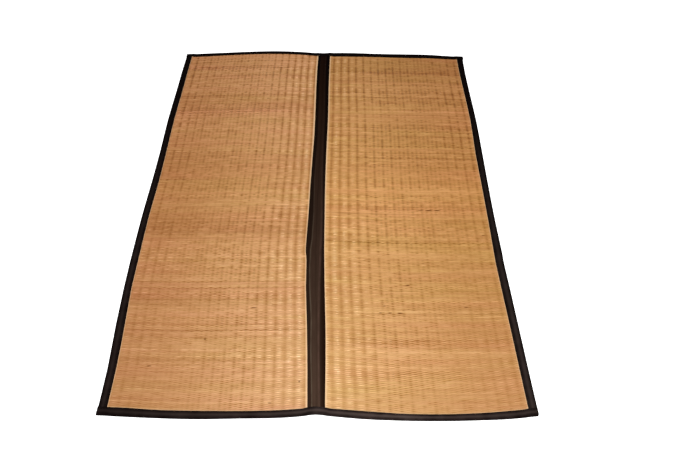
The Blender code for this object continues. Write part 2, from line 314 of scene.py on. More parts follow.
# %% Sizes of the weave
REED_BLOCKS = 70
ROWS_PER_BLOCK = 16
COLUMNS_PER_RIB = 4
HEM = 0.0026
TAPE_STEP = 0.00132
REED_LIFT = 0.00125
TAPER_PLACES = (0.0, 0.17, 0.30, 0.44, 0.58, 0.75, 1.0)
TAPER_VALUES = (0.85, 0.66, 0.26, 0.17, 0.13, -0.14, -0.50)
GAP_DEPTH = 0.00022
DIP_SHARPNESS = 1.6
UNDER_STRIP = 0.0100
EDGE_CLEAR = 0.0040
REED_WIDTHS = (0.72, 1.28)
THINNEST = 0.1
BUNDLE_RUN, BUNDLE_SPREAD = 7.0, 0.12
WARP_RUN, WARP_DRIFT = 24.0, 0.0010
PULL, PULL_SPREAD, PULL_LIMITS = 0.82, 0.14, (0.15, 1.4)
PULL_RUN, PULL_DRIFT = 5.0, 0.15
TUGGED_SHARE, TUG = 0.05, 0.6
CALM_PLACES, CALM_VALUES = (0.40, 0.75), (0.0, 0.40)
PUFF_SPREAD, PUFF_LIMITS = 0.12, (0.55, 1.45)
PATCH_REEDS, PULL_PATCH, PUFF_PATCH = 3, 0.17, 0.09


class Panel(NamedTuple):
    """One panel: its node, its side of the strip, its ribs counted from the strip, and its painted sheen,
    lighter beside the strip and darker at the outer edge.
    """

    node: str
    side: int
    pitch: float
    first_valley: float
    slot: str
    seed: int
    inner_painted_sheen: float
    outer_painted_sheen: float


PANELS = (
    Panel("panel_left", -1, 0.0295, 0.0085, "grass_left", 11, 0.13, -0.14),
    Panel("panel_right", 1, 0.0320, 0.0220, "grass_right", 23, 0.115, -0.04),
)

# %% [markdown]
# ## Weaving a panel
#
# A grid would need the same fine rows on the underside, where nobody looks closely. So a coarse grid
# is pulled up into a slab first, and only its upper lengthwise edges are divided, which leaves the
# underside coarse and the slab closed. The points then go to their places: across and along from the
# plan lines, and up by the weave.

# %% Weave helpers
def rib_columns(panel, width):
    """Distances from the strip's edge of the columns: hems first and last, quarter ribs between."""
    quarter = panel.pitch / COLUMNS_PER_RIB
    before = math.floor((panel.first_valley + UNDER_STRIP - EDGE_CLEAR) / quarter)
    first = panel.first_valley - quarter * before
    last = width - UNDER_STRIP
    count = math.floor((last - EDGE_CLEAR - first) / quarter) + 1
    return np.array([-UNDER_STRIP, *(first + quarter * k for k in range(count)), last])


def reed_rows(rng, rows):
    """Shares of the way along at which the rows lie: gap, crest, gap, with reeds of unlike widths."""
    widths = rng.uniform(*REED_WIDTHS, rows // 2)
    gaps = np.concatenate([[0.0], np.cumsum(widths)]) / widths.sum()
    crests = (gaps[1:] + gaps[:-1]) / 2
    shares = np.empty(rows + 1)
    shares[0::2], shares[1::2] = gaps, crests
    return shares


def wander(rng, places, spacing, amount):
    """A slow random drift along a line, read smoothly at the places given."""
    knots = np.arange(places.min() - 2 * spacing, places.max() + 2 * spacing, spacing)
    return np.interp(places, knots, rng.normal(0.0, amount, len(knots)))


def patchy(rng, reeds, warps, amount):
    """A random value for every reed at every warp thread, alike on neighbouring reeds."""
    knots = rng.normal(0.0, amount, (reeds // PATCH_REEDS + 3, warps))
    place = np.arange(reeds) / PATCH_REEDS
    low = place.astype(int)
    share = (place - low)[:, None]
    return knots[low] * (1 - share) + knots[low + 1] * share


def reed_heights(panel, columns, shares, rng):
    """For each reed and column: its height, its dip, its thickness, its puff and its gleam."""
    reeds = len(shares) // 2
    numbers = np.arange(reeds)
    odd = (numbers % 2 == 1)[:, None]
    outward = np.clip(columns / columns.max(), 0.0, 1.0)
    taper = np.interp(outward, TAPER_PLACES, TAPER_VALUES)[None, :]
    bundle = rng.normal(1.0, BUNDLE_SPREAD, reeds)
    bundle = (bundle * (1.0 + wander(rng, numbers, BUNDLE_RUN, BUNDLE_SPREAD)))[:, None]
    thick = bundle * (1.0 + np.where(odd, taper, -taper))

    drift = wander(rng, numbers, WARP_RUN, WARP_DRIFT)[:, None]
    turn = (columns[None, :] + drift - panel.first_valley) / panel.pitch + np.where(odd, 0.0, 0.5)
    warp, over = np.rint(turn).astype(int), np.floor(turn).astype(int)
    warps = warp.max() - over.min() + 2
    uneven = rng.normal(0.0, PULL_SPREAD, (reeds, warps)) + patchy(rng, reeds, warps, PULL_PATCH)
    tugged = np.where(rng.random(reeds // 2 + 1) < TUGGED_SHARE, TUG, 0.0).repeat(2)[:reeds, None]
    uneven = uneven + tugged + wander(rng, numbers, PULL_RUN, PULL_DRIFT)[:, None]
    calm = np.interp(numbers / reeds, CALM_PLACES, CALM_VALUES)[:, None] * np.linspace(1.0, 0.0, warps)
    pull = np.clip(PULL + uneven * (1.0 - calm), *PULL_LIMITS)
    tight = np.take_along_axis(pull, warp - over.min(), axis=1)

    loose = rng.normal(1.0, PUFF_SPREAD, (reeds, warps)) + patchy(rng, reeds, warps, PUFF_PATCH)
    puff = np.take_along_axis(np.clip(loose, *PUFF_LIMITS), over - over.min(), axis=1)
    wave = (1.0 + np.cos(2 * np.pi * (turn - warp))) / 2.0
    dip = wave**DIP_SHARPNESS * tight
    return thick * puff * np.clip(1.0 - dip, 0.0, None), dip, thick, puff, puff * (1.0 - wave)


# %% [markdown]
# ## The colour of the reeds
#
# Dried grass is straw coloured, but no two bunches are alike: some bunches turned pinkish, some kept
# a little green, and a few reeds are pale or brown. What the eye sees from a step away is bands of
# tone across the panels. A short chart gives the bands of each panel. A second one gives the
# dark flecks, where single reeds are bruised, and a third one the few reeds that stayed pale.

# %% Charts of bands and flecks
class Band(NamedTuple):
    """One bunch of reeds: where it lies along the mat, its reach, how much lighter and how much greener."""

    side: int
    along: float
    reach: float
    lighter: float
    greener: float


class Fleck(NamedTuple):
    """One dark mark on a reed: its place in plan, and its half length across and along."""

    across: float
    along: float
    half_length: float
    half_width: float
    strength: float


BANDS = (
    Band(-1, 0.700, 0.060, 0.02, 0.35),
    Band(-1, 0.560, 0.045, -0.10, 0.30),
    Band(-1, 0.480, 0.035, 0.06, -0.45),
    Band(-1, 0.350, 0.040, 0.03, 0.00),
    Band(-1, 0.225, 0.030, -0.02, 0.10),
    Band(-1, 0.150, 0.050, -0.09, -0.20),
    Band(-1, 0.060, 0.030, -0.06, 0.05),
    Band(-1, -0.060, 0.040, -0.02, 0.15),
    Band(-1, -0.180, 0.060, -0.09, -0.35),
    Band(-1, -0.400, 0.130, 0.06, 0.00),
    Band(-1, -0.460, 0.050, -0.06, -0.15),
    Band(-1, -0.570, 0.035, 0.07, 0.15),
    Band(-1, -0.690, 0.060, 0.02, 0.30),
    Band(-1, -0.830, 0.060, 0.02, 0.45),
    Band(1, 0.800, 0.070, -0.03, 0.40),
    Band(1, 0.650, 0.050, 0.07, 0.10),
    Band(1, 0.550, 0.040, 0.00, 0.20),
    Band(1, 0.440, 0.060, 0.00, -0.10),
    Band(1, 0.280, 0.080, 0.01, 0.50),
    Band(1, 0.130, 0.035, -0.04, 0.10),
    Band(1, -0.090, 0.040, 0.03, -0.45),
    Band(1, -0.150, 0.030, -0.03, 0.10),
    Band(1, -0.250, 0.030, 0.04, 0.20),
    Band(1, -0.300, 0.070, 0.00, 0.50),
    Band(1, -0.350, 0.035, -0.05, 0.00),
    Band(1, -0.440, 0.050, -0.01, 0.45),
    Band(1, -0.560, 0.040, 0.02, 0.45),
    Band(1, -0.690, 0.060, 0.03, -0.20),
    Band(1, -0.800, 0.040, 0.05, 0.05),
)
FLECKS = (
    Fleck(0.352, -0.093, 0.009, 0.0022, 0.60),
    Fleck(0.380, -0.093, 0.011, 0.0024, 1.00),
    Fleck(0.409, -0.093, 0.010, 0.0024, 1.00),
    Fleck(0.283, -0.442, 0.006, 0.0022, 1.00),
    Fleck(0.222, -0.556, 0.005, 0.0020, 0.80),
    Fleck(0.253, -0.557, 0.008, 0.0020, 1.00),
    Fleck(0.192, -0.556, 0.005, 0.0020, 0.70),
    Fleck(0.460, -0.532, 0.007, 0.0020, 0.70),
    Fleck(0.205, -0.528, 0.004, 0.0020, 0.60),
    Fleck(-0.200, -0.537, 0.009, 0.0020, 0.80),
    Fleck(-0.336, -0.659, 0.0035, 0.0030, 0.90),
    Fleck(-0.485, -0.757, 0.0060, 0.0020, 0.80),
    Fleck(-0.050, -0.808, 0.0030, 0.0030, 0.70),
    Fleck(-0.130, -0.880, 0.005, 0.0020, 0.60),
    Fleck(0.555, -0.215, 0.006, 0.0022, 0.70),
    Fleck(-0.225, 0.575, 0.006, 0.0030, 0.60),
    Fleck(-0.320, 0.615, 0.006, 0.0030, 0.50),
)
PALE_LIFT = 0.25
PALE_FROM = 0.09
PALE_LINES = (
    Band(1, 0.489, 0.0040, 0.6, 0.0),
    Band(1, -0.553, 0.0035, 0.8, 0.0),
    Band(1, -0.705, 0.0035, 0.5, 0.0),
    Band(-1, -0.700, 0.0040, 0.4, 0.0),
)


def band_values(bands, panel, along):
    """How much lighter and how much greener the reeds are along a panel, by one chart."""
    lighter, greener = np.zeros_like(along), np.zeros_like(along)
    for band in bands:
        if band.side == panel.side:
            share = np.exp(-(((along - band.along) / band.reach) ** 2))
            lighter += band.lighter * share
            greener += band.greener * share
    return lighter, greener


print(len(BANDS), "bands,", len(FLECKS), "flecks and", len(PALE_LINES), "pale lines")

# %% Weave both panels
BESIDE_TAPES = 1.6
FEEL_INSET = (0.002, 0.0007)
SPLIT_LIMITS = (0.10, 0.90)


def add_values(mesh, name, values):
    """Keep one number for every point of a mesh, for the materials to read."""
    layer = mesh.attributes.new(name, "FLOAT", "POINT")
    layer.data.foreach_set("value", np.asarray(values, dtype=np.float32).ravel())


def unit_places(mesh):
    """Where each point of a grid lies before it is shaped, from -1 to 1 both ways."""
    unit = np.empty(len(mesh.vertices) * 3, dtype=np.float32)
    mesh.vertices.foreach_get("co", unit)
    return unit.reshape(-1, 3)


def grid_step(values, steps):
    """The line of the grid that each point lies on, counted from nought."""
    return np.rint((values + 1) / 2 * steps).astype(int)


def move_to(mesh, places):
    """Put every point of a mesh to its place."""
    mesh.vertices.foreach_set("co", places.astype(np.float32).ravel())


def slab(columns, blocks, rows_per_block):
    """A closed slab in unit space whose upper face alone is divided into fine rows."""
    bm = bmesh.new()
    bmesh.ops.create_grid(bm, x_segments=columns, y_segments=blocks, size=1.0)
    raised = bmesh.ops.extrude_face_region(bm, geom=bm.faces[:])["geom"]
    upper = [item for item in raised if isinstance(item, bmesh.types.BMVert)]
    bmesh.ops.translate(bm, verts=upper, vec=(0, 0, 1))
    lengthwise = [
        edge
        for edge in bm.edges
        if min(v.co.z for v in edge.verts) > 0.5 and abs(edge.verts[0].co.x - edge.verts[1].co.x) < 1e-6
    ]
    bmesh.ops.subdivide_edges(bm, edges=lengthwise, cuts=rows_per_block - 1, use_grid_fill=True)
    bmesh.ops.recalc_face_normals(bm, faces=bm.faces[:])
    return bm


def open_distance(panel, from_strip, across, along):
    """How far each point lies from the nearest edge of the strip and the tapes, in metres."""
    outer = plans["side_tape_left" if panel.side < 0 else "side_tape_right"]
    rim = np.interp(along, outer.stations, outer.high if panel.side < 0 else outer.low)
    near, far = plans["end_tape_near"], plans["end_tape_far"]
    low, high = np.interp(across, near.stations, near.high), np.interp(across, far.stations, far.low)
    from_tapes = np.minimum.reduce([(rim - across) * panel.side, along - low, high - along])
    return np.minimum(from_strip, BESIDE_TAPES * from_tapes)


def weave(panel, plan):
    """Build one woven panel."""
    rng = np.random.default_rng(panel.seed)
    width = plan.width()
    columns = rib_columns(panel, width)
    rows = REED_BLOCKS * ROWS_PER_BLOCK
    shares = reed_rows(rng, rows)
    ride, dip, thick, puff, gleam = reed_heights(panel, columns, shares, rng)

    mesh = finished(slab(len(columns) - 1, REED_BLOCKS, ROWS_PER_BLOCK), panel.node + "_weave")
    unit = unit_places(mesh)
    column = grid_step(unit[:, 0], len(columns) - 1)
    if panel.side < 0:
        column = len(columns) - 1 - column
    row = grid_step(unit[:, 1], rows)
    upper = unit[:, 2] > 0.5
    from_strip = columns[column]

    crest = row % 2 == 1
    before = np.clip((row - 1) // 2, 0, rows // 2 - 1)
    after = np.clip(row // 2, 0, rows // 2 - 1)
    height = np.where(crest, ride[after, column], np.minimum(ride[before, column], ride[after, column]))
    wide_before, wide_after = (np.maximum(thick[reed, column], THINNEST) for reed in (before, after))
    part_before, part_after = shares[2 * before + 1], shares[2 * after + 1]
    split = np.clip(wide_before / (wide_before + wide_after), *SPLIT_LIMITS)
    between = part_before + split * (part_after - part_before)
    part = np.where(crest | (row == 0) | (row == rows), shares[row], between)
    outwards = (from_strip + UNDER_STRIP) / width
    share = outwards if panel.side > 0 else 1 - outwards
    across, along = plan.place(share, part)

    felt = plan.place(*(np.clip(at, inset, 1 - inset) for at, inset in zip((share, part), FEEL_INSET)))
    foot = np.array([foot_at(panel.node, x, y) for x, y in zip(*felt)])
    open_part = 1.0 - np.clip(foot / TAPE_STEP, 0.0, 1.0)
    relief = REED_LIFT * height - GAP_DEPTH * (1 - crest)
    z = foot + np.where(upper, HEM + open_part * relief, 0.0)
    move_to(mesh, np.stack([across, along, z], axis=1))

    lighter, greener = band_values(BANDS, panel, along)
    lighter = lighter + PALE_LIFT * band_values(PALE_LINES, panel, along)[0] * (from_strip > PALE_FROM)
    depth = np.where(crest, dip[after, column], (dip[before, column] + dip[after, column]) / 2)
    weight = np.where(crest, thick[after, column], (thick[before, column] + thick[after, column]) / 2)
    for name, values in {
        "reed": row / 2.0,
        "sunk": np.clip(depth * np.sqrt(np.maximum(weight, 0.0)), 0.0, 1.0) * upper,
        "thick": np.where(upper, weight, 1.0),
        "gleam": np.where(crest & upper, gleam[after, column], 0.0),
        "puff": np.where(crest & upper, puff[after, column], 1.0),
        "under": ~upper,
        "turn": (from_strip - panel.first_valley) / panel.pitch,
        "open_by": np.where(upper, open_distance(panel, from_strip, across, along), 1.0),
        "lighter": lighter,
        "greener": greener,
        "outward": np.clip(from_strip / columns.max(), 0.0, 1.0),
    }.items():
        add_values(mesh, name, values)
    mesh.shade_smooth()
    return set_down(mesh.name, mesh)


weaves = {panel.node: weave(panel, plans[panel.node]) for panel in PANELS}
for node, woven in weaves.items():
    woven.data.calc_loop_triangles()
    print(woven.name, len(woven.data.loop_triangles), "triangles")

# %% [markdown]
# ## The grass finish
#
# Each reed takes its own shade from its number, so the shade runs its whole length, and a slow
# unevenness along it comes from noise. The charted bands tint whole bunches, and the far end has faded
# another way than the near one. Down in the dips and gaps the grass is painted darker, a painted shade,
# and where the grid is fine the painted shade in the dips is sharper and darker. The crests of the thick
# root ends are painted lighter with cream glint marks, a painted highlight. Beside the strip the grass is
# painted lighter and at its outer edge darker, most at the near end, a painted sheen for the far lamp's
# reflection along the middle. The skin of the reed is smooth, so the finish is a little glossy: three
# stems lie side by side in each reed, and fine fibres run along them. Beside the cloth a thin pale line
# is painted on the grass.

# %% Node helpers
THREAD_STRENGTH = 0.35
THREAD_HEIGHT = 0.0002


class Recipe:
    """A short way to add nodes to one material."""

    def __init__(self, look):
        self.tree = look.node_tree
        self.shader = self.tree.nodes["Principled BSDF"]

    def add(self, kind, inputs=None, **settings):
        node = self.tree.nodes.new(kind)
        for name, value in settings.items():
            setattr(node, name, value)
        for key, value in (inputs or {}).items():
            if isinstance(value, bpy.types.NodeSocket):
                self.tree.links.new(value, node.inputs[key])
            else:
                node.inputs[key].default_value = value
        return node

    def value(self, name):
        return self.add("ShaderNodeAttribute", attribute_name=name).outputs["Fac"]

    def math(self, operation, a, b=0.0, c=0.0):
        return self.add("ShaderNodeMath", {0: a, 1: b, 2: c}, operation=operation).outputs[0]

    def times(self, *factors):
        return functools.reduce(functools.partial(self.math, "MULTIPLY"), factors)

    def plus(self, *terms):
        return functools.reduce(functools.partial(self.math, "ADD"), terms)

    def times_plus(self, a, b, c):
        """The product of the first two, plus the third."""
        return self.math("MULTIPLY_ADD", a, b, c)

    def from_value(self, value, centre):
        """How far a number lies from a centre, either way."""
        return self.math("ABSOLUTE", self.math("SUBTRACT", value, centre))

    def threads(self, run, warps, turn, wefts):
        """A cloth's own weave, as a shallow bump."""
        warp, weft = self.math("SINE", self.times(run, warps)), self.math("SINE", self.times(turn, wefts))
        return self.bump(self.times(warp, weft), THREAD_STRENGTH, THREAD_HEIGHT)

    def mix(self, share, a, b, blend="MIX"):
        settings = dict(data_type="RGBA", blend_type=blend, clamp_factor=True)
        return self.add("ShaderNodeMix", {0: share, 6: a, 7: b}, **settings).outputs[2]

    def spread(self, value, low, high, to_low=0.0, to_high=1.0):
        """Carry a number from one range to another, and clamp it there."""
        inputs = {"Value": value, "From Min": low, "From Max": high, "To Min": to_low, "To Max": to_high}
        return self.add("ShaderNodeMapRange", inputs).outputs[0]

    def object_place(self):
        return self.add("ShaderNodeTexCoord").outputs["Object"]

    def height_along(self):
        """How far along the mat a point lies, from its near end to its far end, in metres."""
        return self.add("ShaderNodeSeparateXYZ", {"Vector": self.object_place()}).outputs["Y"]

    def vector(self, operation, *inputs):
        return self.add("ShaderNodeVectorMath", dict(enumerate(inputs)), operation=operation).outputs

    def near(self, place, half_sizes):
        """One inside a small oval mark around a place, none outside it."""
        aside = self.vector("SUBTRACT", self.object_place(), (*place, 0.0))[0]
        squeeze = (*(1.0 / size for size in half_sizes), 0.0)
        far = self.vector("LENGTH", self.vector("MULTIPLY", aside, squeeze)[0])["Value"]
        return self.spread(far, 0.6, 1.4, 1.0, 0.0)

    def noise(self, stretch, detail=2.0, roughness=0.5):
        """Noise on the Object coordinates, stretched."""
        vector = self.add("ShaderNodeMapping", {"Vector": self.object_place(), "Scale": stretch}).outputs[0]
        inputs = {"Vector": vector, "Scale": 1.0, "Detail": detail, "Roughness": roughness}
        return self.add("ShaderNodeTexNoise", inputs).outputs["Fac"]

    def bump(self, height, strength, distance):
        inputs = {"Height": height, "Strength": strength, "Distance": distance}
        return self.add("ShaderNodeBump", inputs).outputs["Normal"]

    def feed(self, name, value):
        self.tree.links.new(value, self.shader.inputs[name])


# %% Grass material
STRAW = (0.640, 0.305, 0.140, 1.0)
PINKISH = (0.680, 0.285, 0.155, 1.0)
GREENISH = (0.560, 0.310, 0.102, 1.0)
BROWN = (0.380, 0.140, 0.045, 1.0)
FLECK_BROWN = (0.150, 0.040, 0.004, 1.0)
# Colour of the thin pale line painted beside the cloth.
EDGE_CREAM = (0.900, 0.600, 0.340, 1.0)
# Colour of the painted glint marks on the crests.
GLINT_CREAM = (1.000, 0.780, 0.460, 1.0)
FADED = {
    "panel_left": ((0.92, 0.98, 1.00), (0.96, 1.00, 0.81), (0.97, 0.95, 0.88)),
    "panel_right": ((0.90, 0.98, 0.87), (1.01, 1.025, 0.73), (0.82, 0.78, 0.57)),
}
ROSY = {"panel_left": (-0.80, -0.55), "panel_right": (-0.15, 0.15)}
TILT_GREEN = {"panel_left": 2.0, "panel_right": 4.0}
TONE_POWERS = ((1.0, 1.0), (1.38, 1.38), (2.0, 2.3))
NEAR_END, FAR_END = -0.90, 0.90
STEMS = 3
GRASS_GLOSS = 0.10


def grass_look(name, panel):
    """The finish of one panel: first the grass's own colour, then its shade, then what lies on it."""
    look, _ = new_material(name, 0.42, GRASS_GLOSS)
    make = Recipe(look)
    height = make.height_along()
    reed, outward, under, sunk = (make.value(name) for name in ("reed", "outward", "under", "sunk"))
    number = make.math("FLOOR", reed)
    own = make.add("ShaderNodeTexWhiteNoise", {"W": make.plus(number, panel.seed)}, noise_dimensions="1D")
    split = make.add("ShaderNodeSeparateColor", {"Color": own.outputs["Color"]})
    first, second, third = split.outputs[0], split.outputs[1], split.outputs[2]
    patches = make.noise((2.2, 16.0, 1.0), 3.0, 0.55)
    bunches = make.noise((3.5, 110.0, 1.0))
    along_reed = make.noise((45.0, 330.0, 1.0), 3.0, 0.6)

    rosy = make.spread(height, *ROSY[panel.node])
    # Painted sheen at the near end: lighter beside the strip, darker at the outer edge, and it shifts the
    # tint too.
    near_end = make.spread(height, -0.80, -0.40, 1.0, 0.0)
    near_sheen_tilt = make.times(make.spread(outward, 0.10, 1.0, 0.045, -0.040), near_end)
    green = make.times_plus(make.value("greener"), 0.4, make.spread(patches, 0.35, 0.7, -0.15, 0.30))
    green = make.plus(green, make.spread(first, 0.0, 1.0, -0.15, 0.15))
    green = make.times_plus(make.spread(outward, 0.55, 1.0, 0.0, -0.30), rosy, green)
    green = make.times_plus(near_sheen_tilt, TILT_GREEN[panel.node], green)
    colour = make.mix(make.spread(green, 0.0, 1.0), STRAW, GREENISH)
    colour = make.mix(make.spread(green, 0.0, -0.7), colour, PINKISH)
    colour = make.mix(make.spread(second, 0.90, 1.0, 0.0, 0.40), colour, BROWN)
    near, middle, far = ((*tint, 1.0) for tint in FADED[panel.node])
    tint = make.mix(make.spread(height, NEAR_END, 0.0), near, middle)
    tint = make.mix(make.spread(height, 0.0, FAR_END), tint, far)
    colour = make.mix(1.0, colour, tint, "MULTIPLY")

    uneven = make.spread(height, NEAR_END, FAR_END, 0.09, 0.19)
    ceasing = make.spread(height, -0.60, 0.40, 0.0, 0.70)
    # Where the grid is fine, the painted shade in the dips is sharper and darker, and the grass a little
    # lighter between them.
    fine = make.times(make.spread(outward, 0.12, 0.32), make.spread(height, -0.80, 0.60, 0.7, 1.0))
    fine = make.times(fine, make.spread(outward, 0.36, 0.72, 1.0, ceasing))
    # The shade holds a painted sheen across the panel: lighter beside the strip, darker at the outer edge.
    shade = make.plus(
        make.spread(first, 0.0, 1.0, 0.95, 1.05),
        make.spread(along_reed, 0.3, 0.7, -0.08, 0.08),
        make.spread(bunches, 0.3, 0.7, -0.04, 0.04),
        make.spread(third, 0.90, 1.0, 0.0, 0.12),
        make.times(make.spread(make.value("puff"), 0.7, 1.3, -1.0, 1.0), uneven),
        make.spread(outward, 0.0, 1.0, panel.inner_painted_sheen, panel.outer_painted_sheen),
        make.value("lighter"),
        make.times(fine, 0.05),
        near_sheen_tilt,
    )
    if panel.side > 0:
        far_off = make.plus(make.spread(height, 0.05, 0.25), make.spread(height, 0.65, 0.85, 0.0, 0.6))
        shade = make.times_plus(make.spread(outward, 0.20, 0.45, 0.01, -0.035), far_off, shade)

    # Painted shade: the gaps between reeds are painted darker.
    from_crest = make.from_value(make.math("FRACT", reed), 0.5)
    stems = make.math("SINE", make.times_plus(reed, 2 * math.pi * STEMS, make.times(along_reed, 9.0)))
    # Painted highlight: the crests of the thick root ends are painted lighter, with cream glint marks
    # strongest beside the strip and at the near end.
    root = make.times(make.spread(make.value("thick"), 1.1, 2.0), make.spread(sunk, 0.1, 0.7, 1.0, 0.0))
    painted_glints = make.times(
        make.spread(make.noise((50.0, 300.0, 1.0), 1.0), 0.44, 0.60, 0.0, 1.1),
        make.spread(make.value("gleam"), 0.25, 0.85),
        make.spread(outward, 0.04, 0.32, 1.0, 0.30),
        make.spread(height, -0.60, 0.70, 1.0, 0.35),
        root,
    )
    painted_glow = make.times_plus(root, 0.16, make.times(painted_glints, 0.45))
    shade = make.times(
        shade,
        make.spread(from_crest, 0.34, 0.50, 1.03, 0.80),
        make.spread(stems, -1.0, 1.0, 0.95, 1.05),
        make.plus(painted_glow, 1.0),
    )

    # Painted shade: the grass is painted darker where a reed dips under its warp, and on the flat underside
    # by a wave across the ribs.
    half = make.times(make.math("MODULO", number, 2.0), 0.5)
    wave = make.math("COSINE", make.times(make.plus(make.value("turn"), half), 2 * math.pi))
    below = make.times(make.spread(wave, -0.2, 1.0, 0.0, 0.7), under)
    depth = make.spread(make.math("MAXIMUM", sunk, below), 0.05, 0.85)
    sharper = make.times_plus(fine, 0.9, make.spread(height, NEAR_END, FAR_END, 1.1, 1.9))
    darkest_painted_shade = make.times_plus(fine, -0.34, make.spread(height, NEAR_END, FAR_END, 0.74, 0.32))
    dark = make.spread(make.math("POWER", depth, sharper), 0.0, 1.0, 1.0, darkest_painted_shade)
    tones = (
        make.times(make.math("POWER", shade, power), make.math("POWER", dark, deeper))
        for power, deeper in TONE_POWERS
    )
    toned = make.add("ShaderNodeCombineColor", dict(enumerate(tones))).outputs[0]
    colour = make.mix(1.0, colour, toned, "MULTIPLY")

    # The painted glint marks, mixed toward cream.
    colour = make.mix(make.times(painted_glints, 0.80), colour, GLINT_CREAM)
    # A thin pale line painted on the grass along the edges of the cloth.
    colour = make.mix(make.spread(make.value("open_by"), 0.0030, 0.0080, 0.80, 0.0), colour, EDGE_CREAM)
    flecked = 0.0
    for fleck in FLECKS:
        if fleck.across * panel.side > 0:
            mark = make.near((fleck.across, fleck.along), (fleck.half_length, fleck.half_width))
            flecked = make.math("MAXIMUM", flecked, make.times(mark, fleck.strength))
    colour = make.mix(make.times(flecked, make.math("SUBTRACT", 1.0, under)), colour, FLECK_BROWN)
    make.feed("Base Color", colour)

    fibres = make.noise((70.0, 1600.0, 1.0))
    make.feed("Roughness", make.spread(fibres, 0.3, 0.7, 0.34, 0.50))
    make.feed("Normal", make.bump(make.times_plus(stems, 0.25, fibres), 0.5, 0.0003))
    return look


for panel in PANELS:
    woven = weaves[panel.node]
    look = grass_look("grass " + panel.node.split("_")[1], panel)
    print(look.name, "takes", len(look.node_tree.nodes), "nodes")
    woven.data.materials.append(look)
    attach(woven, "root")
    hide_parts(panel.node)

# %% [markdown]
# ## Tapes folded round the hems
#
# A binding tape is one ribbon of black cotton, ironed in half along its middle, slipped over the hem
# and sewn through. So it is made as a ribbon: a grid with its columns from the lower cut edge, round
# the fold, to the upper cut edge. Its height over the hem is felt on the solid, and Solidify then
# gives the ribbon its 1 mm inwards. The upper leaf comes out a little wider than the solid's, for the
# same reason as the camera's lens, and the end tapes are trimmed slantwise at their tips.

# %% Ribbon helpers
LEAF = 0.0010
CLOTH_GLOSS = 0.015
STATION_INSET = 0.0012
CREASE_ANGLE = math.radians(50)


def stations_along(plan, step):
    """Parts of the way along a band, the same kept clear of its ends for feeling, and the run in metres."""
    parts = np.linspace(0.0, 1.0, round(plan.length() / step))
    return parts, np.clip(parts, STATION_INSET, 1 - STATION_INSET), parts * plan.length()


def feel_line(feeler, node, places):
    """Heights of a solid's face along a line of plan places."""
    return np.array([feeler(node, across, along) for across, along in zip(*places)])


def chart_at(places, chart):
    """Read a chart of (place, value) pairs."""
    return np.interp(places, *zip(*chart))


def ribbon(name, rows, turned=False):
    """A sheet of cloth 1 mm thick whose outer face runs through rows of (across, along, height)."""
    places, values = rows
    if turned:
        places, values = places[::-1], {key: value[::-1] for key, value in values.items()}
    stations, columns = places.shape[:2]
    bm = bmesh.new()
    bmesh.ops.create_grid(bm, x_segments=columns - 1, y_segments=stations - 1, size=1.0)
    mesh = finished(bm, name)
    unit = unit_places(mesh)
    column, row = grid_step(unit[:, 0], columns - 1), grid_step(unit[:, 1], stations - 1)
    move_to(mesh, places[row, column])
    for key, value in values.items():
        add_values(mesh, key, value[row, column])
    piece = set_down(name, mesh)
    shell = piece.modifiers.new("thickness", "SOLIDIFY")
    shell.thickness = LEAF
    shell.offset = -1.0
    shell.use_even_offset = True
    solid = bpy.data.meshes.new_from_object(piece.evaluated_get(bpy.context.evaluated_depsgraph_get()))
    solid.name = name
    piece.modifiers.clear()
    piece.data = solid
    bpy.data.meshes.remove(mesh)
    solid.shade_smooth()
    solid.set_sharp_from_angle(angle=CREASE_ANGLE)
    return piece


# %% Fold a tape
TAPE_STATION = 0.0060
LOWER_SHARES = np.linspace(0.0, 1.0, 5)
UPPER_SHARES = np.linspace(0.0, 1.0, 13)
BEND_POINTS = 8
FOOT_SHARE, CROWN_SHARE, TOP_SHARE = 0.55, 0.36, 0.976
RUFFLE_RUN, RUFFLE = 0.022, 0.00018
PUFFED_RUN, PUFFED = 0.045, 0.25
CROWN_POWER = 0.8
FOLD_TURN, UPPER_TURN = 0.42, 0.58
TRIM_REACH = 0.030
TRIMS = {
    "end_tape_near": ((0.0035, 0.0040), (0.0055, 0.0075)),
    "end_tape_far": ((0.0010, 0.0010), (0.0030, 0.0035)),
}
UNTRIMMED = ((0.0, 0.0), (0.0, 0.0))
# How strong the painted sheen on the crown and the grey patches are, along each tape.
WEAR_AND_SHEEN = {
    "side_tape_left": ((0.0, 0.22), (0.3, 0.22), (0.6, 0.10), (0.8, 0.04), (1.0, 0.02)),
    "side_tape_right": ((0.0, 0.46), (0.3, 0.30), (0.6, 0.15), (0.8, 0.04), (1.0, 0.02)),
    "end_tape_near": (
        (0.0, 0.19),
        (0.2, 0.34),
        (0.42, 0.48),
        (0.52, 0.72),
        (0.66, 0.97),
        (0.8, 0.52),
        (1.0, 0.44),
    ),
    "end_tape_far": ((0.0, 0.02), (1.0, 0.01)),
}


